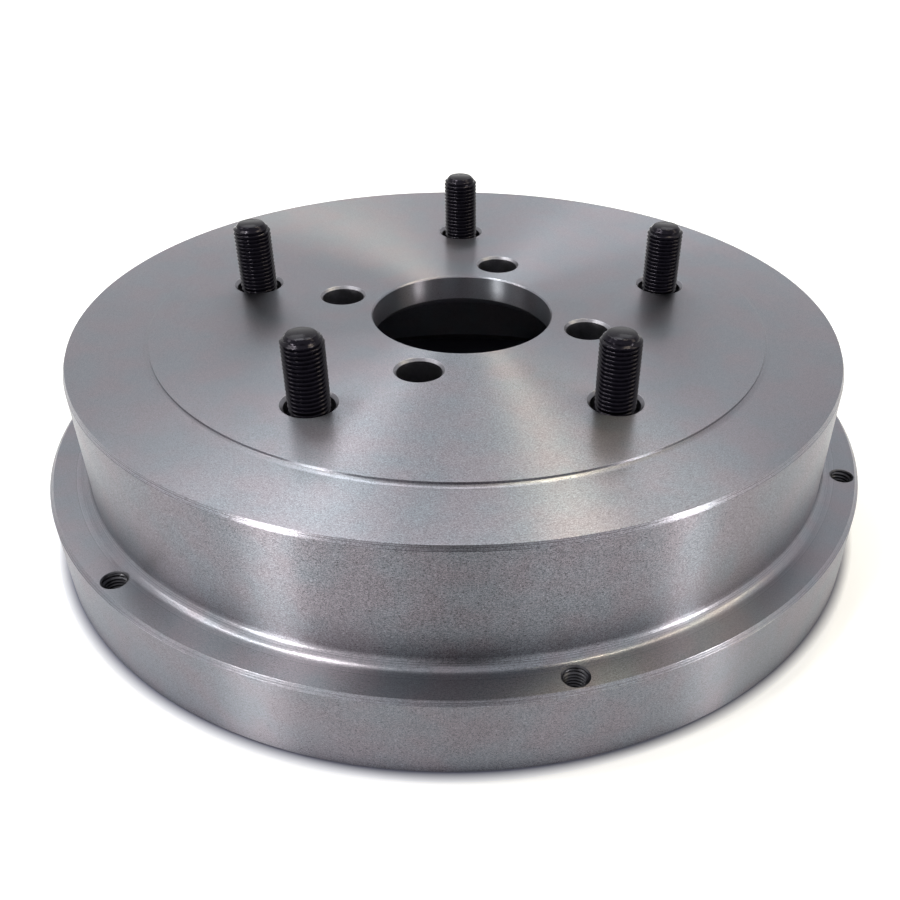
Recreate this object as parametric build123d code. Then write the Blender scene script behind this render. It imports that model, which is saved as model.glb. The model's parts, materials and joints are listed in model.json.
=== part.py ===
from build123d import *
import math
import os

# Brake drum of cast iron, turned all over, with five wheel studs pressed through its web.
# It stands on its open rim: the axis is Z, the rim's face is Z = 0 and the hub face is on top.
# All sizes are millimetres and all angles are degrees.

# Drum: outside
overall_height = 76.0
drum_diameter = 286.0
lip_width = 14.5
lip_height = 30.0
lip_edge_chamfer = 1.5
lip_root_radius = 4.0
shoulder_width = 28.5
hub_face_step = 1.2
step_flank_width = 2.5
shoulder_break_width = 0.8
shoulder_break_depth = 1.9

# Drum: inside
bore_diameter = 68.0
bore_bottom_chamfer = 2.8
web_thickness = 12.5
friction_wall = 16.0
relief_depth = 1.5
relief_width = 8.0
corner_break = 4.0
mouth_chamfer = 4.0

# The three hole patterns are indexed from one direction, where a hole of each lies in line
index_angle = 180.0

# Wheel studs
stud_count = 5
stud_circle_diameter = 170.0
stud_hole_diameter = 17.0
stud_hole_chamfer = 1.1
stud_diameter = 14.0
stud_reach = 24.7
stud_tip_diameter = 9.6
stud_tip_length = 2.2
stud_head_diameter = 23.0
stud_head_thickness = 4.5
knurl_length = 8.0
knurl_depth = 0.5
knurl_teeth = 16
knurl_clearance = 0.03

# Plain holes that bolt the drum to its axle flange
flange_hole_count = 4
flange_circle_diameter = 98.0
flange_hole_diameter = 16.0
flange_hole_chamfer = 0.9

# Threaded holes in the lip, drawn at the thread's outer diameter
lip_hole_count = 6
lip_hole_circle_diameter = 302.4
lip_thread_diameter = 8.0
lip_thread_depth = 20.0

# What follows from the sizes above
wall_radius = drum_diameter / 2
lip_radius = wall_radius + lip_width
shoulder_height = overall_height - hub_face_step
hub_face_radius = wall_radius - shoulder_width
bore_radius = bore_diameter / 2
web_underside = overall_height - web_thickness
friction_radius = wall_radius - friction_wall
relief_radius = friction_radius + relief_depth
mouth_radius = friction_radius + mouth_chamfer
stud_hole_radius = stud_hole_diameter / 2


def drum_section():
    """Half section of the drum in the XZ plane, from the axis outwards."""
    lip_root_start = (wall_radius, lip_height + lip_root_radius)
    lip_root_end = (wall_radius + lip_root_radius, lip_height)
    relief_top = web_underside - corner_break
    relief_foot = relief_top - relief_width

    with BuildSketch(Plane.XZ) as section:
        with BuildLine():
            Polyline(
                (relief_radius - corner_break, web_underside),
                (bore_radius + bore_bottom_chamfer, web_underside),
                (bore_radius, web_underside + bore_bottom_chamfer),
                (bore_radius, overall_height),
                (hub_face_radius, overall_height),
                (hub_face_radius + step_flank_width, shoulder_height),
                (wall_radius - shoulder_break_width, shoulder_height),
                (wall_radius, shoulder_height - shoulder_break_depth),
                lip_root_start,
            )
            RadiusArc(lip_root_start, lip_root_end, -lip_root_radius)
            Polyline(
                lip_root_end,
                (lip_radius - lip_edge_chamfer, lip_height),
                (lip_radius, lip_height - lip_edge_chamfer),
                (lip_radius, 0),
                (mouth_radius, 0),
                (friction_radius, mouth_chamfer),
                (friction_radius, relief_foot - relief_depth),
                (relief_radius, relief_foot),
                (relief_radius, relief_top),
                (relief_radius - corner_break, web_underside),
            )
        make_face()
    return section.sketch


def chamfered_hole(radius, chamfer_size):
    """Tool for a round hole through the web, with a chamfer at its mouth at Z = 0."""
    overrun = chamfer_size
    hole = Cylinder(
        radius,
        web_thickness + 2 * overrun,
        align=(Align.CENTER, Align.CENTER, Align.MAX),
    )
    mouth = Cone(
        radius,
        radius + chamfer_size + overrun,
        chamfer_size + overrun,
        align=(Align.CENTER, Align.CENTER, Align.MIN),
    )
    return Pos(0, 0, overrun) * hole + Pos(0, 0, -chamfer_size) * mouth


def pattern(cutter, count, circle, height):
    """Copies of a cutter round the axis, the first one at the index direction."""
    places = PolarLocations(circle / 2, count, start_angle=index_angle)
    return [Pos(0, 0, height) * place * cutter for place in places]


def make_drum():
    """The drum: one turned casting, drilled with its three hole patterns."""
    drum = revolve(drum_section(), Axis.Z)

    stud_hole = chamfered_hole(stud_hole_radius, stud_hole_chamfer)
    flange_hole = chamfered_hole(flange_hole_diameter / 2, flange_hole_chamfer)
    lip_hole = Cylinder(
        lip_thread_diameter / 2,
        lip_thread_depth,
        align=(Align.CENTER, Align.CENTER, Align.MAX),
    )

    drum -= pattern(stud_hole, stud_count, stud_circle_diameter, overall_height)
    drum -= pattern(flange_hole, flange_hole_count, flange_circle_diameter, overall_height)
    drum -= pattern(lip_hole, lip_hole_count, lip_hole_circle_diameter, lip_height)
    return drum


def knurled_shank():
    """Straight knurl of pointed teeth that grips the drum, from the head's seat upwards."""
    crest_radius = stud_hole_radius - knurl_clearance
    root_radius = crest_radius - knurl_depth
    outline = []
    for half_tooth in range(2 * knurl_teeth):
        radius = (root_radius, crest_radius)[half_tooth % 2]
        angle = math.radians(half_tooth * 180 / knurl_teeth)
        outline.append((radius * math.cos(angle), radius * math.sin(angle)))
    return extrude(make_face(Polyline(*outline, close=True)), knurl_length)


def make_stud():
    """One wheel stud along Z, with the underside of its head at Z = 0."""
    stud_radius = stud_diameter / 2
    tip_height = web_thickness + stud_reach
    with BuildSketch(Plane.XZ) as section:
        with BuildLine():
            Polyline(
                (0, -stud_head_thickness),
                (stud_head_diameter / 2, -stud_head_thickness),
                (stud_head_diameter / 2, 0),
                (stud_radius, 0),
                (stud_radius, tip_height - stud_tip_length),
                (stud_tip_diameter / 2, tip_height),
                (0, tip_height),
                close=True,
            )
        make_face()
    return revolve(section.sketch, Axis.Z) + knurled_shank()


def make_studs():
    """The studs, each seated with its head against the underside of the web."""
    stud = make_stud()
    places = PolarLocations(stud_circle_diameter / 2, stud_count, start_angle=index_angle)
    return [Pos(0, 0, web_underside) * place * stud for place in places]


os.makedirs("parts", exist_ok=True)
export_step(make_drum(), "parts/drum.step")
for number, wheel_stud in enumerate(make_studs(), start=1):
    export_step(wheel_stud, f"parts/wheel_stud_{number}.step")
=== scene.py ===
import json
import math
import bpy
import bmesh
from bpy.props import FloatProperty, FloatVectorProperty, IntProperty, PointerProperty
from mathutils import Matrix, Vector


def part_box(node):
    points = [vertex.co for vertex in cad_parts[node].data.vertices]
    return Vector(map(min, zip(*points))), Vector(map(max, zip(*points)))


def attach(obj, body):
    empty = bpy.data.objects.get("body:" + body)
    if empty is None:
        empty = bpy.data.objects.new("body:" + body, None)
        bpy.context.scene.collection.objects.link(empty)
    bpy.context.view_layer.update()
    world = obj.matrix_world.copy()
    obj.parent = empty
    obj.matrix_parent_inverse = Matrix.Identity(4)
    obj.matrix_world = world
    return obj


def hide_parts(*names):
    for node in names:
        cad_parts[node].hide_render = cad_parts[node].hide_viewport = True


bl_info = {
    "name": "Brake drum",
    "version": (1, 0, 0),
    "blender": (4, 5, 0),
    "location": "View3D > Sidebar > Brake drum",
    "description": "Builds a turned brake drum with its wheel studs and the stage it is lit on",
    "category": "Object",
}

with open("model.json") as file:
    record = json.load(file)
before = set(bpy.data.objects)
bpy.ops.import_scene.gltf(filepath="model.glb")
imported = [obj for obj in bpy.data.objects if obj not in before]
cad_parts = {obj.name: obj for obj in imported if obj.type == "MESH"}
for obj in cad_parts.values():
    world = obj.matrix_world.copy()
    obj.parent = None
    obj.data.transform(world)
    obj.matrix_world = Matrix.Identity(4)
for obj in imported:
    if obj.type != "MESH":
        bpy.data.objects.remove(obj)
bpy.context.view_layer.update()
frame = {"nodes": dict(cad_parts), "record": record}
mount_sizes = {mount["name"]: mount["dims"] for mount in frame["record"]["mounts"]}
drum_low, drum_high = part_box("drum")
stud_low, stud_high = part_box("wheel_stud_1")
stud_nodes = sorted(name for name in frame["nodes"] if name.startswith("wheel_stud"))
mm = 0.001

# Degrees from the axes of the camera's fit to the part's, and the azimuth that faces the camera
FIT_TURN = 17.8
CAMERA_SIDE = 270 + FIT_TURN

# Metres from the middle of the drum to each lamp
LAMP_DISTANCE = 1.6

# Name, colour setting, azimuth and elevation in degrees, side in metres, watts
STUDIO_LIGHTS = (
    ("right_low_middle", "right_lamps", 15.0, 40.0, 0.36, 2.14),
    ("right_back_key", "right_lamps", 25.0, 72.0, 0.14, 1.75),
    ("right_middle", "right_lamps", 26.0, 56.0, 0.36, 2.35),
    ("right_high", "right_lamps", 45.0, 73.0, 0.36, 3.69),
    ("back_right_high", "right_lamps", 80.0, 64.0, 0.14, 3.11),
    ("back_low", "back_lamps", 90.0, 40.0, 0.36, 0.72),
    ("back_high", "back_lamps", 103.0, 56.0, 0.36, 2.06),
    ("back_left_low", "back_lamps", 126.0, 40.0, 0.36, 0.76),
    ("back_left_high", "back_lamps", 129.0, 56.0, 0.36, 2.89),
    ("left_back_low", "left_lamps", 144.0, 40.0, 0.36, 0.54),
    ("left_high", "left_lamps", 180.0, 56.0, 0.36, 3.26),
    ("left_key", "left_lamps", 191.0, 66.0, 0.14, 4.57),
    ("left_middle", "left_lamps", 198.0, 40.0, 0.36, 2.34),
    ("front_left_key", "left_lamps", 218.0, 66.0, 0.14, 3.80),
    ("low_left_1", "left_lamps", 237.0, 8.0, 0.14, 4.60),
    ("low_left_2", "left_lamps", 243.0, 8.0, 0.14, 6.70),
    ("low_right_1", "left_lamps", 345.0, 9.0, 0.36, 3.40),
    ("low_right_2", "left_lamps", 346.0, 8.0, 0.14, 5.00),
)


def length(name, description, default):
    """Setting in metres."""
    return FloatProperty(name=name, description=description, default=default, unit="LENGTH", precision=5)


def color(name, description, default):
    """Setting of a colour with its alpha."""
    return FloatVectorProperty(
        name=name, description=description, default=default, size=4, subtype="COLOR", min=0.0, max=1.0
    )


class DrumSizes(bpy.types.PropertyGroup):
    """Sizes of the turned drum; radii are from its axis and heights from its rim."""

    height: length("Height", "From the rim to the hub face", drum_high.z)
    lip_radius: length("Lip radius", "Outside of the lip at the rim", drum_high.x)
    wall_radius: length("Wall radius", "Outside of the drum wall", 143 * mm)
    lip_height: length("Lip height", "Height of the lip", 30 * mm)
    lip_edge: length("Lip edge break", "Width of the break on the lip's top edge", 1.4 * mm)
    lip_root: length("Lip root radius", "Radius between wall and lip", 4 * mm)
    tool_line_radius: length("Tool line radius", "Where the finishing cut on the lip ends", 148.3 * mm)
    hub_face_radius: length("Hub face radius", "Edge of the raised hub face", 114.5 * mm)
    hub_face_step: length("Hub face step", "How far the hub face stands above the shoulder", 1.2 * mm)
    step_flank: length("Step flank", "Height of the step's almost upright part", 0.8 * mm)
    step_tool_radius: length("Step tool radius", "Radius that the tool left beside the step", 5 * mm)
    shoulder_break_width: length("Shoulder break width", "Width of the break, seen from above", 0.8 * mm)
    shoulder_break_depth: length("Shoulder break depth", "Height of the break on the wall", 1.9 * mm)
    rim_break: length("Rim break", "Break on the rim's outer edge", 0.6 * mm)
    bore_radius: length("Bore radius", "Centre bore", mount_sizes["centre_bore"]["r_mm"] * mm)
    bore_top_break: length("Bore top break", "Break on the bore's upper edge", 0.5 * mm)
    bore_bottom_chamfer: length("Bore bottom chamfer", "Chamfer under the bore", 2.8 * mm)
    web_thickness: length("Web thickness", "Thickness of the hub plate", 12.5 * mm)
    friction_radius: length(
        "Friction radius", "Where the shoes run", mount_sizes["friction_bore"]["r_mm"] * mm
    )
    relief_depth: length("Relief depth", "Groove beside the web", 1.5 * mm)
    relief_width: length("Relief width", "Groove beside the web", 8 * mm)
    corner_break: length("Corner break", "Inner corner of the web", 4 * mm)
    mouth_chamfer: length("Mouth chamfer", "Chamfer inside the rim", 4 * mm)
    edge_radius: length("Edge radius", "How far sharp edges are worn round", 0.15 * mm)
    turn_steps: IntProperty(
        name="Steps round", description="Steps round the drum's axis", default=384, min=64
    )


class HoleSizes(bpy.types.PropertyGroup):
    """Sizes of the three hole patterns."""

    index_angle: FloatProperty(
        name="Index angle",
        description="Direction where the patterns line up",
        default=math.pi,
        subtype="ANGLE",
    )
    stud_hole_radius: length("Stud hole radius", "Clearance hole round a stud", 8.5 * mm)
    stud_hole_chamfer: length("Stud hole chamfer", "Chamfer at its mouth", 1.1 * mm)
    flange_hole_chamfer: length("Flange hole chamfer", "Chamfer at its mouth", 0.9 * mm)
    lip_hole_chamfer: length("Lip hole chamfer", "Chamfer at its mouth", 0.45 * mm)
    lip_thread_depth: length("Lip thread depth", "Depth of the threaded holes", 20 * mm)
    lip_thread_pitch: length("Lip thread pitch", "Rise of the thread in a turn", 1.25 * mm)


class StudSizes(bpy.types.PropertyGroup):
    """Sizes of a wheel stud."""

    pitch: length("Pitch", "Rise of the thread in a turn", 1.5 * mm)
    thread_depth: length("Thread depth", "From crest to root", 0.9 * mm)
    tip_radius: length("Tip radius", "Flat end of the stud", 4.8 * mm)
    tip_length: length("Tip length", "Cone that leads the nut on", 2.2 * mm)
    knurl_length: length("Knurl length", "Part that grips the drum", 8 * mm)
    knurl_depth: length("Knurl depth", "Depth of its grooves", 0.5 * mm)
    knurl_teeth: IntProperty(name="Knurl teeth", description="Teeth round the knurl", default=16, min=8)
    knurl_clearance: length("Knurl clearance", "Between knurl and hole", 0.03 * mm)


class Finishes(bpy.types.PropertyGroup):
    """Colours of the finishes and the stage."""

    iron: color("Turned iron", "Bright turned cast iron", (0.200, 0.197, 0.220, 1.0))
    graphite: color("Graphite pores", "Dark flecks in the iron", (0.06, 0.06, 0.063, 1.0))
    black_oxide: color("Black oxide", "Finish of the studs", (0.004, 0.0035, 0.006, 1.0))
    floor: color("Floor", "Pale floor", (0.84, 0.85, 0.90, 1.0))
    right_lamps: color("Right lamps", "Colour of the lamps on the right", (1.0, 0.905, 0.63, 1.0))
    left_lamps: color("Left lamps", "Colour of the lamps on the left", (1.0, 0.985, 0.93, 1.0))
    back_lamps: color("Back lamps", "Colour of the lamps at the back", (0.96, 1.0, 0.98, 1.0))


class StageSizes(bpy.types.PropertyGroup):
    """Light levels and the floor's size."""

    floor_size: length("Floor size", "Width of the floor", 6.0)
    surround: FloatProperty(
        name="Surround", description="Level of the white surround in diffuse light", default=0.3, min=0.0
    )
    floor_glow: FloatProperty(
        name="Floor glow",
        description="What the floor adds for the camera to look white",
        default=0.3,
        min=0.0,
    )


def rounded_outline(corners):
    """Closed outline through corners of (radius, height, rounding), with arcs at the rounded ones."""
    arc_step = math.radians(9)
    outline = []
    for index, (radius, height, rounding) in enumerate(corners):
        here = Vector((radius, height))
        if rounding == 0:
            outline.append(here)
            continue
        before = (Vector(corners[index - 1][:2]) - here).normalized()
        after = (Vector(corners[(index + 1) % len(corners)][:2]) - here).normalized()
        half_angle = before.angle(after) / 2
        centre = here + (before + after).normalized() * rounding / math.sin(half_angle)
        reach = rounding / math.tan(half_angle)
        first = here + before * reach - centre
        last = here + after * reach - centre
        turn = first.angle_signed(last)
        steps = max(2, math.ceil(abs(turn) / arc_step))
        for step in range(steps + 1):
            outline.append(centre + Matrix.Rotation(-turn * step / steps, 2) @ first)
    return outline


def scalloped(start, end, cuts, depth):
    """Corners along a line that a tool left as shallow hollows side by side."""
    points_per_cut = 4
    start, end = Vector(start), Vector(end)
    along = (end - start).normalized()
    into_metal = Vector((along.y, -along.x))
    corners = []
    for index in range(cuts * points_per_cut + 1):
        share = index / (cuts * points_per_cut)
        sink = depth * math.sin(math.pi * (index % points_per_cut) / points_per_cut)
        point = start.lerp(end, share) + into_metal * sink
        corners.append((point.x, point.y, 0))
    return corners


def drum_outline(sizes):
    """Half section of the drum, clockwise: up the bore, out over the top, down the wall, in below."""
    edge = sizes.edge_radius
    top = sizes.height
    shoulder = top - sizes.hub_face_step
    underside = top - sizes.web_thickness
    tool = sizes.step_tool_radius
    step_angle = math.acos(1 - (sizes.hub_face_step - sizes.step_flank) / tool)
    flank_lean = 0.15 * sizes.step_flank
    step_foot = sizes.hub_face_radius + flank_lean + tool * math.sin(step_angle)
    relief_radius = sizes.friction_radius + sizes.relief_depth
    relief_top = underside - sizes.corner_break
    relief_foot = relief_top - sizes.relief_width
    line_width = 0.12 * mm
    line_height = 0.02 * mm
    hub_edge = 0.1 * mm
    shoulder_drop = 0.03 * mm
    lip_drop = 0.04 * mm

    corners = [
        (relief_radius - sizes.corner_break, underside, 0),
        (sizes.bore_radius + sizes.bore_bottom_chamfer, underside, 0),
        (sizes.bore_radius, underside + sizes.bore_bottom_chamfer, edge),
        (sizes.bore_radius, top - sizes.bore_top_break, edge),
        (sizes.bore_radius + sizes.bore_top_break, top, edge),
        (sizes.hub_face_radius, top, hub_edge),
    ]
    arc_steps = 6
    for step in range(arc_steps + 1):
        angle = step_angle * (1 - step / arc_steps)
        corners.append(
            (step_foot - tool * math.sin(angle), shoulder + tool * (1 - math.cos(angle)), 0)
        )
    corners += [(sizes.wall_radius - sizes.shoulder_break_width - edge, shoulder, 0)]
    corners += scalloped(
        (sizes.wall_radius - sizes.shoulder_break_width, shoulder - shoulder_drop),
        (sizes.wall_radius, shoulder - sizes.shoulder_break_depth),
        cuts=4,
        depth=0.04 * mm,
    )
    corners += [
        (sizes.wall_radius, sizes.lip_height, sizes.lip_root),
        (sizes.tool_line_radius - line_width, sizes.lip_height, 0),
        (sizes.tool_line_radius, sizes.lip_height + line_height, 0),
        (sizes.tool_line_radius + line_width, sizes.lip_height - line_height, 0),
        (sizes.lip_radius - sizes.lip_edge - edge, sizes.lip_height - line_height, 0),
    ]
    corners += scalloped(
        (sizes.lip_radius - sizes.lip_edge, sizes.lip_height - lip_drop),
        (sizes.lip_radius, sizes.lip_height - sizes.lip_edge),
        cuts=3,
        depth=0.045 * mm,
    )
    corners += [
        (sizes.lip_radius, sizes.rim_break, edge),
        (sizes.lip_radius - sizes.rim_break, 0, edge),
        (sizes.friction_radius + sizes.mouth_chamfer, 0, edge),
        (sizes.friction_radius, sizes.mouth_chamfer, edge),
        (sizes.friction_radius, relief_foot - sizes.relief_depth, edge),
        (relief_radius, relief_foot, 0),
        (relief_radius, relief_top, 0),
    ]
    return rounded_outline(corners)


def turned_mesh(name, outline, steps, closed=True):
    """Mesh of an outline turned round Z. An open outline starts and ends on the axis."""
    rings = bmesh.new()
    columns = []
    for step in range(steps):
        angle = 2 * math.pi * step / steps
        columns.append(
            [rings.verts.new((p.x * math.cos(angle), p.x * math.sin(angle), p.y)) for p in outline]
        )
    rows = len(outline) if closed else len(outline) - 1
    for step in range(steps):
        here, after = columns[step], columns[(step + 1) % steps]
        for row in range(rows):
            low, high = row, (row + 1) % len(outline)
            rings.faces.new((here[low], here[high], after[high], after[low]))
    return finished_mesh(name, rings)


def mesh_data(name, shape):
    """Mesh data from a bmesh, which is freed."""
    mesh = bpy.data.meshes.new(name)
    shape.to_mesh(mesh)
    shape.free()
    return mesh


def flat_mesh(name, corners):
    """Mesh of one flat face."""
    shape = bmesh.new()
    shape.faces.new([shape.verts.new(corner) for corner in corners])
    return mesh_data(name, shape)


def finished_mesh(name, shape):
    """Mesh data from a bmesh, with its doubles merged, faces outwards and sharp edges marked."""
    merge_distance = 0.001 * mm
    sharp_angle = math.radians(28)
    bmesh.ops.remove_doubles(shape, verts=shape.verts, dist=merge_distance)
    bmesh.ops.recalc_face_normals(shape, faces=shape.faces)
    for face in shape.faces:
        face.smooth = True
    for edge in shape.edges:
        if edge.is_manifold and edge.calc_face_angle(0) > sharp_angle:
            edge.smooth = False
    return mesh_data(name, shape)


def add_object(name, mesh, material=None):
    """New object in the scene with the given mesh and material."""
    made = bpy.data.objects.new(name, mesh)
    bpy.context.scene.collection.objects.link(made)
    if material:
        mesh.materials.clear()
        mesh.materials.append(material)
    return made


def evaluated_mesh(source, name):
    """Plain mesh of an object with its modifiers applied."""
    graph = bpy.context.evaluated_depsgraph_get()
    mesh = bpy.data.meshes.new_from_object(
        source.evaluated_get(graph), preserve_all_data_layers=True, depsgraph=graph
    )
    mesh.name = name
    return mesh


def ring_pattern_tree():
    """Geometry nodes that set copies of a piece round Z at even steps."""
    name = "ring_pattern"
    if name in bpy.data.node_groups:
        return bpy.data.node_groups[name]
    tree = bpy.data.node_groups.new(name, "GeometryNodeTree")
    for label, kind in (
        ("Geometry", "NodeSocketGeometry"),
        ("Count", "NodeSocketInt"),
        ("Circle radius", "NodeSocketFloat"),
        ("Height", "NodeSocketFloat"),
        ("First angle", "NodeSocketFloat"),
        ("Material", "NodeSocketMaterial"),
    ):
        tree.interface.new_socket(label, in_out="INPUT", socket_type=kind)
    tree.interface.new_socket("Geometry", in_out="OUTPUT", socket_type="NodeSocketGeometry")
    nodes = Nodes(tree)
    given = nodes.add("NodeGroupInput")
    index = nodes.add("GeometryNodeInputIndex")
    step = nodes.math("DIVIDE", 2 * math.pi, given.outputs["Count"])
    turned = nodes.math("MULTIPLY", index.outputs["Index"], step)
    angle = nodes.math("ADD", turned, given.outputs["First angle"])
    radius = given.outputs["Circle radius"]
    x = nodes.math("MULTIPLY", radius, nodes.math("COSINE", angle))
    y = nodes.math("MULTIPLY", radius, nodes.math("SINE", angle))
    place = nodes.vector(x, y, given.outputs["Height"])
    points = nodes.add("GeometryNodePoints")
    nodes.link(given.outputs["Count"], points.inputs["Count"])
    nodes.link(place, points.inputs["Position"])
    spin = nodes.add("FunctionNodeAxisAngleToRotation")
    spin.inputs["Axis"].default_value = (0, 0, 1)
    nodes.link(angle, spin.inputs["Angle"])
    copies = nodes.add("GeometryNodeInstanceOnPoints")
    nodes.link(points.outputs["Points"], copies.inputs["Points"])
    nodes.link(given.outputs["Geometry"], copies.inputs["Instance"])
    nodes.link(spin.outputs["Rotation"], copies.inputs["Rotation"])
    real = nodes.add("GeometryNodeRealizeInstances")
    nodes.link(copies.outputs["Instances"], real.inputs["Geometry"])
    finish = nodes.add("GeometryNodeSetMaterial")
    nodes.link(real.outputs["Geometry"], finish.inputs["Geometry"])
    nodes.link(given.outputs["Material"], finish.inputs["Material"])
    nodes.link(finish.outputs["Geometry"], nodes.add("NodeGroupOutput").inputs["Geometry"])
    return tree


def ring_of(mesh, name, pattern, height, material):
    """Object with a mesh repeated round Z as a mount's hole pattern says."""
    single = add_object(name + "_single", mesh, material)
    tree = ring_pattern_tree()
    modifier = single.modifiers.new("ring_pattern", "NODES")
    modifier.node_group = tree
    values = {
        "Count": pattern["count"],
        "Circle radius": pattern["pcd_mm"] * mm / 2,
        "Height": height,
        "First angle": bpy.context.scene.hole_sizes.index_angle,
        "Material": material,
    }
    for socket in tree.interface.items_tree:
        if socket.in_out == "INPUT" and socket.name in values:
            modifier[socket.identifier] = values[socket.name]
    ring = add_object(name, evaluated_mesh(single, name))
    bpy.data.objects.remove(single)
    return ring


class Nodes:
    """Short ways to add and link the nodes of one tree."""

    def __init__(self, tree):
        self.tree = tree
        if tree.bl_idname == "ShaderNodeTree":
            tree.nodes.clear()

    def add(self, kind, **settings):
        node = self.tree.nodes.new(kind)
        for name, value in settings.items():
            setattr(node, name, value)
        return node

    def link(self, source, target):
        self.tree.links.new(source, target)

    def feed(self, socket, value):
        if isinstance(value, bpy.types.NodeSocket):
            self.link(value, socket)
        else:
            socket.default_value = value

    def math(self, operation, first, second=None, third=None):
        node = self.add("ShaderNodeMath", operation=operation)
        for socket, value in zip(node.inputs, (first, second, third)):
            if value is not None:
                self.feed(socket, value)
        return node.outputs["Value"]

    def vector(self, x, y, z):
        node = self.add("ShaderNodeCombineXYZ")
        for socket, value in zip(node.inputs, (x, y, z)):
            self.feed(socket, value)
        return node.outputs["Vector"]

    def split(self, vector):
        """The X, Y and Z outputs of a vector."""
        node = self.add("ShaderNodeSeparateXYZ")
        self.link(vector, node.inputs["Vector"])
        return node.outputs

    def along(self, vector, direction):
        """How far a vector reaches along a direction."""
        node = self.add("ShaderNodeVectorMath", operation="DOT_PRODUCT")
        self.link(vector, node.inputs[0])
        node.inputs[1].default_value = direction
        return node.outputs["Value"]

    def position(self):
        """Object coordinates of the point that is shaded."""
        return self.add("ShaderNodeTexCoord").outputs["Object"]

    def ramp(self, value, low, high, to_low=0.0, to_high=1.0):
        """Goes from to_low to to_high while the value goes from low to high."""
        node = self.add("ShaderNodeMapRange")
        node.inputs["From Min"].default_value = low
        node.inputs["From Max"].default_value = high
        node.inputs["To Min"].default_value = to_low
        node.inputs["To Max"].default_value = to_high
        self.link(value, node.inputs["Value"])
        return node.outputs["Result"]

    def mix(self, share, first, second, blend="MIX"):
        node = self.add("ShaderNodeMix", data_type="RGBA", blend_type=blend)
        self.feed(node.inputs[0], share)
        self.feed(node.inputs[6], first)
        self.feed(node.inputs[7], second)
        return node.outputs[2]

    def shade(self, base, level, share=1.0):
        """A colour times a level, as far as the share says."""
        return self.mix(share, base, self.vector(level, level, level), blend="MULTIPLY")

    def noise(self, vector, scale, detail=2.0, roughness=0.5, w=None):
        """Noise at a vector, at a vector and W, or at W alone when the vector is None."""
        dimensions = "1D" if vector is None else "3D" if w is None else "4D"
        node = self.add("ShaderNodeTexNoise", noise_dimensions=dimensions)
        if vector is not None:
            self.link(vector, node.inputs["Vector"])
        if w is not None:
            self.link(w, node.inputs["W"])
        node.inputs["Scale"].default_value = scale
        node.inputs["Detail"].default_value = detail
        node.inputs["Roughness"].default_value = roughness
        return node.outputs["Fac"]

    def spread(self, noise, to_low, to_high):
        """Stretches noise, which mostly lies between 0.3 and 0.7, over a range."""
        return self.ramp(noise, 0.3, 0.7, to_low, to_high)

    def bump(self, height, strength, distance):
        """Normal of a surface with fine relief."""
        node = self.add("ShaderNodeBump")
        node.inputs["Strength"].default_value = strength
        node.inputs["Distance"].default_value = distance
        self.link(height, node.inputs["Height"])
        return node.outputs["Normal"]

    def principled(self, color, roughness, normal, constants):
        """Principled shader; the constants go to the inputs they are named for."""
        shader = self.add("ShaderNodeBsdfPrincipled")
        for name, value in constants.items():
            shader.inputs[name].default_value = value
        self.link(color, shader.inputs["Base Color"])
        self.link(roughness, shader.inputs["Roughness"])
        if normal is not None:
            self.link(normal, shader.inputs["Normal"])
        return shader

    def joined(self, kind, *parts):
        """Mix or sum of shaders, its parts in the order of its inputs."""
        node = self.add(kind)
        for socket, part in zip(node.inputs, parts):
            self.link(part, socket)
        return node.outputs[0]

    def surface(self, shader, kind="ShaderNodeOutputMaterial"):
        """Ends the tree with a shader as its surface."""
        self.link(shader, self.add(kind).inputs["Surface"])


def new_material(name):
    """Material with an empty tree and the helper that fills it."""
    material = bpy.data.materials.new(name)
    material.use_nodes = True
    return material, Nodes(material.node_tree)


def distance_from_axis(nodes, position):
    """Distance of a point from the object's Z axis."""
    x, y, _ = nodes.split(position)
    return nodes.math("SQRT", nodes.math("ADD", nodes.math("MULTIPLY", x, x), nodes.math("MULTIPLY", y, y)))


def turned_relief(nodes, position, radius):
    """Relief of the turned iron: grooves round the axis, without a seam, and the iron's own grain."""
    finer_across, reference_radius = 2.2, 0.12
    grooves_share, grain_share = 0.45, 0.55
    x, y, z = nodes.split(position)
    east = nodes.math("MULTIPLY", nodes.math("DIVIDE", x, radius), reference_radius)
    north = nodes.math("MULTIPLY", nodes.math("DIVIDE", y, radius), reference_radius)
    around = nodes.vector(east, north, nodes.math("MULTIPLY", z, finer_across))
    across = nodes.math("MULTIPLY", radius, finer_across)
    grooves = nodes.noise(around, 1700.0, detail=1.0, roughness=0.6, w=across)
    grain = nodes.noise(position, 3900.0, detail=1.0, roughness=0.6)
    return nodes.math(
        "ADD", nodes.math("MULTIPLY", grooves, grooves_share), nodes.math("MULTIPLY", grain, grain_share)
    )


def relief_contrast(nodes, radius, coarse):
    """Contrast that the relief gives the colour: more on the wall, and more on the coarse side."""
    wall = bpy.context.scene.drum_sizes.wall_radius
    shoulder_fade, lip_fade_start, lip_fade_end = 1 * mm, 0.1 * mm, 0.8 * mm
    off_wall_contrast, wall_contrast = 1.0, 2.2
    off_wall_coarser, wall_coarser = 1.6, 0.7
    past_shoulder = nodes.ramp(radius, wall - shoulder_fade, wall)
    before_lip = nodes.ramp(radius, wall + lip_fade_end, wall + lip_fade_start)
    on_wall = nodes.math("MULTIPLY", past_shoulder, before_lip)
    even_contrast = nodes.ramp(on_wall, 0.0, 1.0, off_wall_contrast, wall_contrast)
    coarser = nodes.ramp(on_wall, 0.0, 1.0, off_wall_coarser, wall_coarser)
    return nodes.math("MULTIPLY", even_contrast, nodes.math("MULTIPLY_ADD", coarse, coarser, 1.0))


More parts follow.
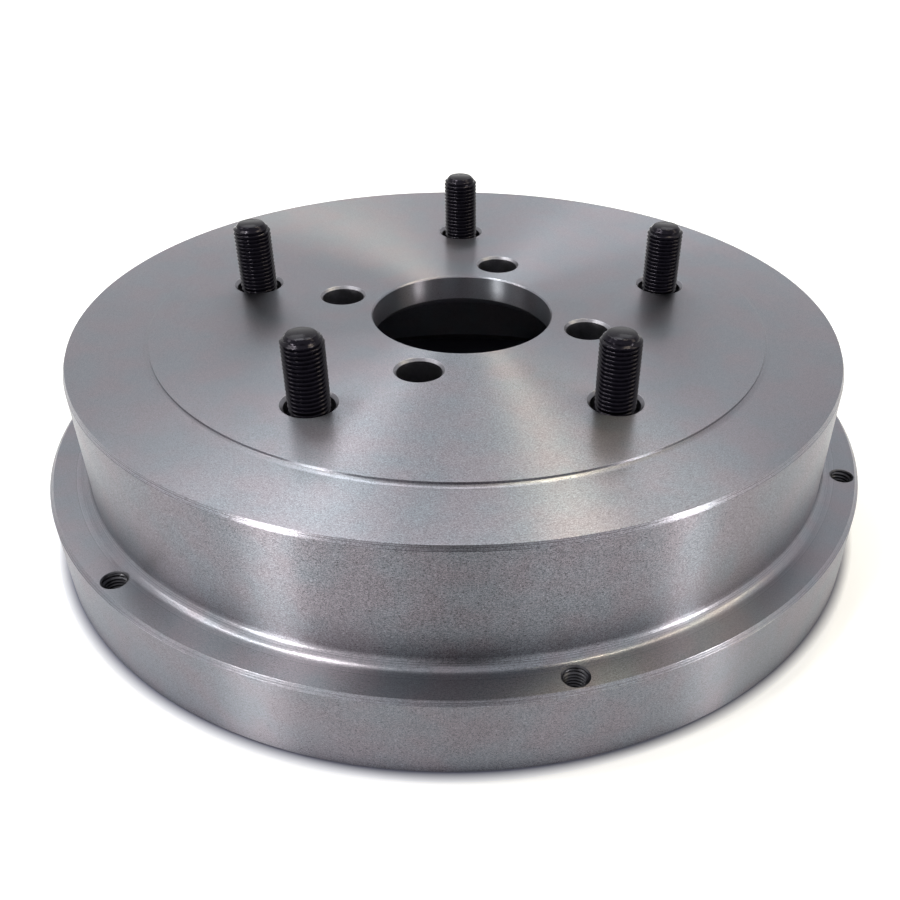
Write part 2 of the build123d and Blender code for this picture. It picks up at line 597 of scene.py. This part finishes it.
def tool_lines_and_sheen(nodes, radius, height, facing_up, sloped):
    """Level of the lines that the tool left on the breaks and the lip, and how much they show there; the
    level averages 1.1, so it also paints a little sheen on them.
    """
    sizes = bpy.context.scene.drum_sizes
    margin = 0.1 * mm
    full_slope, least_upward, lip_share = 0.08, 0.05, 0.5
    pattern = nodes.noise(None, 2600.0, detail=1.0, w=nodes.math("SUBTRACT", radius, height))
    # Painted sheen: the lines are real marks, but their level averages 1.1 and so lightens the breaks and
    # the lip
    level = nodes.spread(pattern, 0.78, 1.42)
    outside = nodes.math("GREATER_THAN", radius, sizes.wall_radius - sizes.shoulder_break_width - margin)
    lip_end = sizes.tool_line_radius
    lip_inner = nodes.ramp(radius, lip_end + margin, lip_end, 0.0, lip_share)
    not_wall = nodes.math("GREATER_THAN", facing_up, least_upward)
    strongest = nodes.math("MAXIMUM", nodes.ramp(sloped, 0.0, full_slope), lip_inner)
    return level, nodes.math("MULTIPLY", nodes.math("MULTIPLY", strongest, not_wall), outside)


def turned_iron():
    """Bright turned cast iron with tool lines, which also paint a little sheen on the breaks and the lip,
    faint colour clouds and dark pores.

    Its relief and its pores are coarser on the side that faces the camera, where the photo is in focus.
    """
    colours = bpy.context.scene.finishes
    bluish, reddish = (0.94, 1.0, 1.015, 1), (1.035, 0.985, 0.995, 1)
    pore_softness, pore_cover, pore_roughness, more_when_coarse = 0.08, 0.8, 0.2, -0.03
    material, nodes = new_material("turned_iron")
    position = nodes.position()
    radius = distance_from_axis(nodes, position)
    relief = turned_relief(nodes, position, radius)

    side = math.radians(CAMERA_SIDE)
    toward_camera = nodes.along(position, (math.cos(side), math.sin(side), 0))
    coarse = nodes.ramp(nodes.math("DIVIDE", toward_camera, radius), 0.72, 0.95)
    contrast = relief_contrast(nodes, radius, coarse)
    level = nodes.math("MULTIPLY_ADD", nodes.math("SUBTRACT", relief, 0.5), contrast, 1.0)
    clouds = nodes.mix(nodes.ramp(nodes.noise(position, 65.0), 0.38, 0.62), bluish, reddish)
    shaded = nodes.shade(nodes.mix(1.0, tuple(colours.iron), clouds, blend="MULTIPLY"), level)

    facing_up = nodes.split(nodes.add("ShaderNodeNewGeometry").outputs["True Normal"])["Z"]
    upward = nodes.math("MULTIPLY", facing_up, facing_up)
    sloped = nodes.math("MULTIPLY", upward, nodes.math("SUBTRACT", 1.0, upward))
    line, line_and_sheen_share = tool_lines_and_sheen(nodes, radius, nodes.split(position)["Z"], facing_up, sloped)
    # Tool lines, with the painted sheen they add on the breaks and the lip
    lined_and_sheened = nodes.shade(shaded, line, line_and_sheen_share)

    pore_zone = nodes.ramp(nodes.noise(position, 130.0), 0.35, 0.65, 0.75, 0.67)
    pore_limit = nodes.math("MULTIPLY_ADD", coarse, more_when_coarse, pore_zone)
    flecks = nodes.noise(position, 4200.0, detail=0.0)
    pore = nodes.ramp(nodes.math("SUBTRACT", flecks, pore_limit), 0.0, pore_softness)
    color = nodes.mix(nodes.math("MULTIPLY", pore, pore_cover), lined_and_sheened, tuple(colours.graphite))

    normal = nodes.bump(relief, strength=1.0, distance=0.02 * mm)
    tangent = nodes.add("ShaderNodeTangent", direction_type="RADIAL", axis="Z")

    def lobe(hollows, crests, anisotropic):
        """Reflection with its roughness in the relief's hollows and on its crests."""
        metal = nodes.ramp(relief, 0.35, 0.65, hollows, crests)
        roughness = nodes.math("MULTIPLY_ADD", pore, pore_roughness, metal)
        constants = {"Metallic": 1.0, "Anisotropic": anisotropic, "Anisotropic Rotation": 0.25}
        shader = nodes.principled(color, roughness, normal, constants)
        nodes.link(tangent.outputs["Tangent"], shader.inputs["Tangent"])
        return shader.outputs["BSDF"]

    # The tight lobe has more share on flat faces than on the wall, and most on breaks and arcs
    flat_share = nodes.ramp(upward, 0.0, 1.0, 0.1, 0.4)
    sloped_share = nodes.ramp(sloped, 0.01, 0.09, 0.0, 0.52)
    tight_share = nodes.math("MAXIMUM", flat_share, sloped_share)
    wide, tight = lobe(0.42, 0.29, 0.96), lobe(0.27, 0.21, 0.2)
    nodes.surface(nodes.joined("ShaderNodeMixShader", tight_share, wide, tight))
    return material


def drilled_iron(name, shade):
    """Walls and chamfers of the drilled holes; the shade is their share of the turned iron's colour, and a
    share below 1 is painted shade in the holes.
    """
    material, nodes = new_material(name)
    grain = nodes.noise(nodes.position(), 1400.0, roughness=0.6)
    tone = nodes.spread(grain, 0.82 * shade, 1.05 * shade)
    color = nodes.shade(tuple(bpy.context.scene.finishes.iron), tone)
    roughness = nodes.spread(grain, 0.3, 0.42)
    nodes.surface(nodes.principled(color, roughness, None, {"Metallic": 1.0}).outputs["BSDF"])
    return material


def black_oxide():
    """Oiled black oxide on the studs, a little uneven in tone and gloss."""
    material, nodes = new_material("black_oxide")
    position = nodes.position()
    cloud = nodes.noise(position, 700.0, detail=3.0, roughness=0.6)
    tone = nodes.spread(cloud, 0.6, 1.6)
    color = nodes.shade(tuple(bpy.context.scene.finishes.black_oxide), tone)
    roughness = nodes.spread(cloud, 0.12, 0.2)
    normal = nodes.bump(nodes.noise(position, 1800.0), strength=0.3, distance=0.03 * mm)
    constants = {"Specular IOR Level": 0.11, "Specular Tint": (0.88, 0.8, 1.0, 1)}
    nodes.surface(nodes.principled(color, roughness, normal, constants).outputs["BSDF"])
    return material


def seen_directly(nodes):
    """1 for camera, glossy and transmission rays, which see the white surround, and 0 for the rest."""
    path = nodes.add("ShaderNodeLightPath")
    glossy = nodes.math("MAXIMUM", path.outputs["Is Camera Ray"], path.outputs["Is Glossy Ray"])
    return nodes.math("MAXIMUM", glossy, path.outputs["Is Transmission Ray"])


def hole_outline(radius, chamfer_size, depth):
    """Half section of a drill that leaves a chamfer with a worn edge at Z = 0."""
    overrun = 1 * mm
    worn = 0.1 * mm
    mouth = radius + chamfer_size
    points = [
        (0, -depth),
        (radius, -depth),
        (radius, -chamfer_size),
        # Short steps in place of a sharp edge
        (mouth - worn, -worn),
        (mouth - 0.2 * worn, -0.4 * worn),
        (mouth + 0.8 * worn, -0.08 * worn),
        (mouth + 2 * worn, 0.1 * worn),
        (mouth + 2 * worn, overrun),
        (0, overrun),
    ]
    return [Vector(point) for point in points]


class BRAKEDRUM_OT_turn_drum(bpy.types.Operator):
    """Turns the drum and drills its three hole patterns"""

    bl_idname = "brake_drum.turn_drum"
    bl_label = "Turn the drum"

    def execute(self, context):
        sizes, holes = context.scene.drum_sizes, context.scene.hole_sizes
        iron = turned_iron()
        drilled = drilled_iron("drilled_iron", shade=1.0)
        # The threaded lip holes get a darker copy of the drilled iron: painted shade in their recesses
        shaded_tapped = drilled_iron("tapped_iron", shade=0.32)
        blank = turned_mesh("rough_drum", drum_outline(sizes), sizes.turn_steps)
        rough = add_object("rough_drum", blank, iron)
        hole_steps = 96
        through = sizes.web_thickness + 1 * mm
        drills = (
            ("wheel_studs", holes.stud_hole_radius, holes.stud_hole_chamfer, through, sizes.height, drilled),
            ("flange_holes", None, holes.flange_hole_chamfer, through, sizes.height, drilled),
            ("lip_threads", None, holes.lip_hole_chamfer, holes.lip_thread_depth, sizes.lip_height, shaded_tapped),
        )
        for mount, radius, chamfer_size, depth, height, finish in drills:
            pattern = mount_sizes[mount]
            radius = radius or pattern["hole_r_mm"] * mm
            outline = hole_outline(radius, chamfer_size, depth)
            tool = turned_mesh(mount + "_tool", outline, hole_steps, closed=False)
            cutter = ring_of(tool, mount + "_cutter", pattern, height, finish)
            cut = rough.modifiers.new(mount, "BOOLEAN")
            cut.operation = "DIFFERENCE"
            cut.solver = "EXACT"
            cut.material_mode = "TRANSFER"
            cut.object = cutter
        drilled_mesh = evaluated_mesh(rough, "drilled")
        for cut in rough.modifiers:
            bpy.data.objects.remove(cut.object)
        bpy.data.objects.remove(rough)

        shape = bmesh.new()
        shape.from_mesh(drilled_mesh)
        plain = add_object("plain_drum", finished_mesh("plain_drum", shape))
        for material in drilled_mesh.materials:
            plain.data.materials.append(material)
        weighted = plain.modifiers.new("weighted", "WEIGHTED_NORMAL")
        weighted.keep_sharp = True
        drum = add_object("turned_drum", evaluated_mesh(plain, "turned_drum"))
        bpy.data.objects.remove(plain)
        if len(drum.data.polygons) < sizes.turn_steps:
            raise RuntimeError("the drum lost its faces when its holes were cut")
        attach(drum, "root")
        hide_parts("drum")
        return {"FINISHED"}


def thread_columns(shape, low, high, pitch, steps, radius_at):
    """Columns of points on a right-hand thread between two heights; each column is one step round."""
    phases = (0.0, 0.10, 0.22, 0.40, 0.50, 0.60, 0.78, 0.90)
    # Not quite two turns, so that no row starts exactly on the low end
    turns_below = 1.999
    turns = math.ceil((high - low) / pitch) + 2
    columns = []
    for step in range(steps):
        angle = 2 * math.pi * step / steps
        column = []
        for turn in range(turns + 1):
            for phase in phases:
                raw = low + pitch * (turn - turns_below + phase + step / steps)
                height = min(max(raw, low), high)
                radius = radius_at(phase, height)
                column.append(
                    shape.verts.new((radius * math.cos(angle), radius * math.sin(angle), height))
                )
        columns.append(column)
    for step in range(steps):
        here, after = columns[step], columns[(step + 1) % steps]
        climb = 0 if step + 1 < steps else len(phases)
        for row in range(len(here) - 1 - climb):
            shape.faces.new((here[row], after[row + climb], after[row + 1 + climb], here[row + 1]))
    return columns


def ring_points(shape, steps, radius_at, height):
    """One ring of points whose radius may change from step to step."""
    ring = []
    for step in range(steps):
        angle = 2 * math.pi * step / steps
        radius = radius_at(step)
        ring.append(shape.verts.new((radius * math.cos(angle), radius * math.sin(angle), height)))
    return ring


def join_rings(shape, first, second):
    """Faces between two rings of as many points."""
    for step in range(len(first)):
        after = (step + 1) % len(first)
        shape.faces.new((first[step], first[after], second[after], second[step]))


def thread_form(phase):
    """Depth of a 60 degree thread at a share of its pitch: 0 on the crest and 1 on the root."""
    crest, root = 0.12, 0.40
    from_crest = min(phase, 1 - phase)
    return min(max((from_crest - crest / 2) / (root - crest / 2), 0.0), 1.0)


class BRAKEDRUM_OT_cut_lip_threads(bpy.types.Operator):
    """Makes the threads inside the lip's holes"""

    bl_idname = "brake_drum.cut_lip_threads"
    bl_label = "Cut the lip threads"

    def execute(self, context):
        sizes, holes = context.scene.drum_sizes, context.scene.hole_sizes
        pattern = mount_sizes["lip_threads"]
        pitch = holes.lip_thread_pitch
        wall = pattern["hole_r_mm"] * mm
        thread_height = 0.54 * pitch
        # The thread starts just under the chamfer and ends half a turn above the hole's bottom
        high = -holes.lip_hole_chamfer - 0.15 * pitch
        low = -holes.lip_thread_depth + 0.5 * pitch
        steps = 48
        wall_gap = 0.01 * mm
        behind_wall = 0.15 * mm

        def radius_at(phase, height):
            run_in = min((high - height) / pitch, (height - low) / pitch, 1.0)
            return wall - wall_gap - thread_height * (1 - thread_form(phase)) * max(run_in, 0.0)

        shape = bmesh.new()
        columns = thread_columns(shape, low, high, pitch, steps, radius_at)
        outer = wall + behind_wall
        upper = ring_points(shape, steps, lambda step: outer, high)
        lower = ring_points(shape, steps, lambda step: outer, low)
        join_rings(shape, [column[-1] for column in columns], upper)
        join_rings(shape, upper, lower)
        join_rings(shape, lower, [column[0] for column in columns])
        mesh = finished_mesh("lip_thread", shape)
        # The darker copy, with painted shade in the holes
        shaded_tapped = bpy.data.materials["tapped_iron"]
        threads = ring_of(mesh, "lip_threads", pattern, sizes.lip_height, shaded_tapped)
        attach(threads, "root")
        return {"FINISHED"}


class BRAKEDRUM_OT_press_studs(bpy.types.Operator):
    """Makes a wheel stud and presses one into each stud hole"""

    bl_idname = "brake_drum.press_studs"
    bl_label = "Press in the wheel studs"

    def execute(self, context):
        sizes, stud = context.scene.drum_sizes, context.scene.stud_sizes
        pattern = mount_sizes["wheel_studs"]
        crest = pattern["stud_r_mm"] * mm
        seat = sizes.height - sizes.web_thickness
        knurl_top = seat + stud.knurl_length
        tip = stud_high.z
        thread_end = tip - stud.tip_length / 3
        edge = 0.12 * mm
        head_edge = 4 * edge
        head_radius = (stud_high.y - stud_low.y) / 2
        steps_per_tooth = 4
        steps = steps_per_tooth * stud.knurl_teeth

        def radius_at(phase, height):
            run_in = min((height - knurl_top) / stud.pitch, (thread_end - height) / stud.pitch, 1.0)
            slope = (crest - stud.tip_radius) / stud.tip_length
            blank = min(crest, stud.tip_radius + slope * (tip - height))
            return blank - stud.thread_depth * thread_form(phase) * max(run_in, 0.0)

        def knurl_radius(step):
            knurl_crest = context.scene.hole_sizes.stud_hole_radius - stud.knurl_clearance
            half_tooth = steps_per_tooth / 2
            return knurl_crest - stud.knurl_depth * abs(half_tooth - step % steps_per_tooth) / half_tooth

        shape = bmesh.new()
        columns = thread_columns(shape, knurl_top, tip - edge, stud.pitch, steps, radius_at)
        tip_ring = ring_points(shape, steps, lambda step: stud.tip_radius - edge, tip)
        join_rings(shape, [column[-1] for column in columns], tip_ring)
        shape.faces.new(tip_ring)
        below = [column[0] for column in columns]
        head = (
            (knurl_radius, knurl_top),
            (knurl_radius, seat),
            (lambda step: head_radius - edge, seat),
            (lambda step: head_radius, seat - edge),
            (lambda step: head_radius, stud_low.z + head_edge),
            (lambda step: head_radius - head_edge, stud_low.z),
        )
        for radius, height in head:
            ring = ring_points(shape, steps, radius, height)
            join_rings(shape, below, ring)
            below = ring
        shape.faces.new(below)
        mesh = finished_mesh("wheel_stud", shape)
        studs = ring_of(mesh, "wheel_studs", pattern, 0.0, black_oxide())
        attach(studs, "root")
        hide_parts(*stud_nodes)
        return {"FINISHED"}


def add_light(name, azimuth, elevation, size, power, colour):
    """Square soft light aimed at the drum; azimuth is counted from +X towards +Y."""
    data = bpy.data.lights.new(name, "AREA")
    data.shape = "SQUARE"
    data.size = size
    data.energy = power
    data.color = colour
    light = bpy.data.objects.new(name, data)
    bpy.context.scene.collection.objects.link(light)
    around, up = math.radians(azimuth), math.radians(elevation)
    away = Vector((math.cos(around) * math.cos(up), math.sin(around) * math.cos(up), math.sin(up)))
    aim = Vector((0, 0, drum_high.z / 2))
    light.location = aim + away * LAMP_DISTANCE
    light.rotation_euler = (-away).to_track_quat("-Z", "Y").to_euler()


class BRAKEDRUM_OT_set_stage(bpy.types.Operator):
    """Sets up the floor, the white surround, the lights and the camera"""

    bl_idname = "brake_drum.set_stage"
    bl_label = "Set the stage"

    def execute(self, context):
        self.add_floor(context)
        self.add_surround(context)
        self.add_black_card()
        for name, group, azimuth, elevation, size, power in STUDIO_LIGHTS:
            colour = tuple(getattr(context.scene.finishes, group))[:3]
            add_light(name, azimuth, elevation, size, power, colour)
        self.add_camera(context)
        context.scene.view_settings.view_transform = "Standard"
        return {"FINISHED"}

    def add_floor(self, context):
        """Pale floor that glows to the camera, with painted shade under the drum and a painted shadow round
        its lip.
        """
        stage, sizes = context.scene.stage_sizes, context.scene.drum_sizes
        # Painted shade: the floor under the drum is near black, and the bluish grey ring round the lip is a
        # painted contact shadow
        painted_shade_under_drum, painted_shadow_color = (0.01, 0.01, 0.01, 1), (0.22, 0.225, 0.29, 1)
        painted_shadow_width = 4.2 * mm
        near, far, far_glow = 0.5, 2.0, 0.8
        material, nodes = new_material("pale_floor")
        distance = distance_from_axis(nodes, nodes.position())
        outside_drum = nodes.math("GREATER_THAN", distance, sizes.wall_radius)
        past_painted_shadow = nodes.ramp(distance, sizes.lip_radius, sizes.lip_radius + painted_shadow_width)
        ground = nodes.mix(outside_drum, painted_shade_under_drum, tuple(context.scene.finishes.floor))
        diffuse = nodes.add("ShaderNodeBsdfDiffuse")
        nodes.link(nodes.mix(past_painted_shadow, painted_shadow_color, ground), diffuse.inputs["Color"])
        level = nodes.ramp(distance, near, far, stage.floor_glow, far_glow)
        # The glow fades out in the painted shadow and stops under the drum, where the shade is painted
        strength = nodes.math("MULTIPLY", seen_directly(nodes), nodes.math("MULTIPLY", level, past_painted_shadow))
        glow = nodes.add("ShaderNodeEmission")
        nodes.link(nodes.math("MULTIPLY", strength, outside_drum), glow.inputs["Strength"])
        nodes.surface(nodes.joined("ShaderNodeAddShader", diffuse.outputs[0], glow.outputs[0]))
        half = stage.floor_size / 2
        corners = ((-half, -half, 0), (half, -half, 0), (half, half, 0), (-half, half, 0))
        add_object("floor", flat_mesh("floor", corners), material)

    def add_surround(self, context):
        """White surround for the camera and the metal, which lights the rest at a lower level."""
        world = context.scene.world or bpy.data.worlds.new("surround")
        context.scene.world = world
        world.use_nodes = True
        nodes = Nodes(world.node_tree)
        background = nodes.add("ShaderNodeBackground")
        strength = nodes.ramp(seen_directly(nodes), 0.0, 1.0, context.scene.stage_sizes.surround, 1.0)
        nodes.link(strength, background.inputs["Strength"])
        background.inputs["Color"].default_value = (1, 1, 1, 1)
        nodes.surface(background.outputs[0], "ShaderNodeOutputWorld")

    def add_black_card(self):
        """Dark card behind the camera, which the metal's front shows in place of the white surround."""
        distance, low, high, half_width = 0.30, 0.001, 0.28, 0.09
        solid_half_width, solid_height = 0.01, 0.10
        around = math.radians(CAMERA_SIDE)
        centre = Vector((math.cos(around), math.sin(around), 0)) * distance
        aside = Vector((-math.sin(around), math.cos(around), 0))
        material, nodes = new_material("black_card")
        position = nodes.position()
        from_middle = nodes.math("ABSOLUTE", nodes.along(position, aside))
        beside = nodes.ramp(from_middle, solid_half_width, half_width)
        above = nodes.ramp(nodes.split(position)["Z"], solid_height, high)
        clear = nodes.math("MAXIMUM", beside, above)
        diffuse = nodes.add("ShaderNodeBsdfDiffuse")
        diffuse.inputs["Color"].default_value = (0.12, 0.12, 0.13, 1)
        gap = nodes.add("ShaderNodeBsdfTransparent")
        nodes.surface(nodes.joined("ShaderNodeMixShader", clear, diffuse.outputs[0], gap.outputs[0]))
        places = ((-half_width, low), (half_width, low), (half_width, high), (-half_width, high))
        corners = [centre + aside * side + Vector((0, 0, height)) for side, height in places]
        card = add_object("black_card", flat_mesh("black_card", corners), material)
        card.visible_camera = card.visible_diffuse = card.visible_shadow = False

    def add_camera(self, context):
        """Camera of the photo, with the values that the fit of the drum's circles gave."""
        place = Vector((0.10578, -0.32947, 0.23670))
        data = bpy.data.cameras.new("camera")
        data.sensor_width = 36.0
        data.lens = 38.97
        data.shift_x = -0.0812
        data.shift_y = 0.0609
        data.clip_start = 0.01
        pitch, yaw, roll = math.radians(36.060), math.radians(4.280), math.radians(1.953)
        ahead = Vector((math.sin(yaw) * math.cos(pitch), math.cos(yaw) * math.cos(pitch), -math.sin(pitch)))
        level_right = Vector((math.cos(yaw), -math.sin(yaw), 0))
        level_up = level_right.cross(ahead)
        right = math.cos(roll) * level_right + math.sin(roll) * level_up
        up = -math.sin(roll) * level_right + math.cos(roll) * level_up
        axes = Matrix((right, up, -ahead)).transposed()
        turn = Matrix.Rotation(math.radians(FIT_TURN), 3, "Z")
        camera = bpy.data.objects.new("camera", data)
        context.scene.collection.objects.link(camera)
        camera.matrix_world = Matrix.Translation(place) @ (turn @ axes).to_4x4()
        context.scene.camera = camera


class BRAKEDRUM_PT_panel(bpy.types.Panel):
    """Lists the steps and the sizes in the 3D view's sidebar"""

    bl_idname = "BRAKEDRUM_PT_panel"
    bl_label = "Brake drum"
    bl_space_type = "VIEW_3D"
    bl_region_type = "UI"
    bl_category = "Brake drum"

    def draw(self, context):
        for operator in OPERATORS:
            self.layout.operator(operator.bl_idname)
        for name in SETTINGS:
            box = self.layout.box()
            group = getattr(context.scene, name)
            for setting in group.bl_rna.properties:
                if setting.identifier not in ("rna_type", "name"):
                    box.prop(group, setting.identifier)


OPERATORS = (
    BRAKEDRUM_OT_turn_drum,
    BRAKEDRUM_OT_cut_lip_threads,
    BRAKEDRUM_OT_press_studs,
    BRAKEDRUM_OT_set_stage,
)
SETTINGS = {
    "drum_sizes": DrumSizes,
    "hole_sizes": HoleSizes,
    "stud_sizes": StudSizes,
    "finishes": Finishes,
    "stage_sizes": StageSizes,
}


def register():
    for kind in (*SETTINGS.values(), *OPERATORS, BRAKEDRUM_PT_panel):
        bpy.utils.register_class(kind)
    for name, kind in SETTINGS.items():
        setattr(bpy.types.Scene, name, PointerProperty(type=kind))


def unregister():
    for name in SETTINGS:
        delattr(bpy.types.Scene, name)
    for kind in (BRAKEDRUM_PT_panel, *reversed(OPERATORS), *reversed(SETTINGS.values())):
        bpy.utils.unregister_class(kind)


def main():
    register()
    for step in ("turn_drum", "cut_lip_threads", "press_studs", "set_stage"):
        getattr(bpy.ops.brake_drum, step)()


if __name__ == "__main__":
    main()
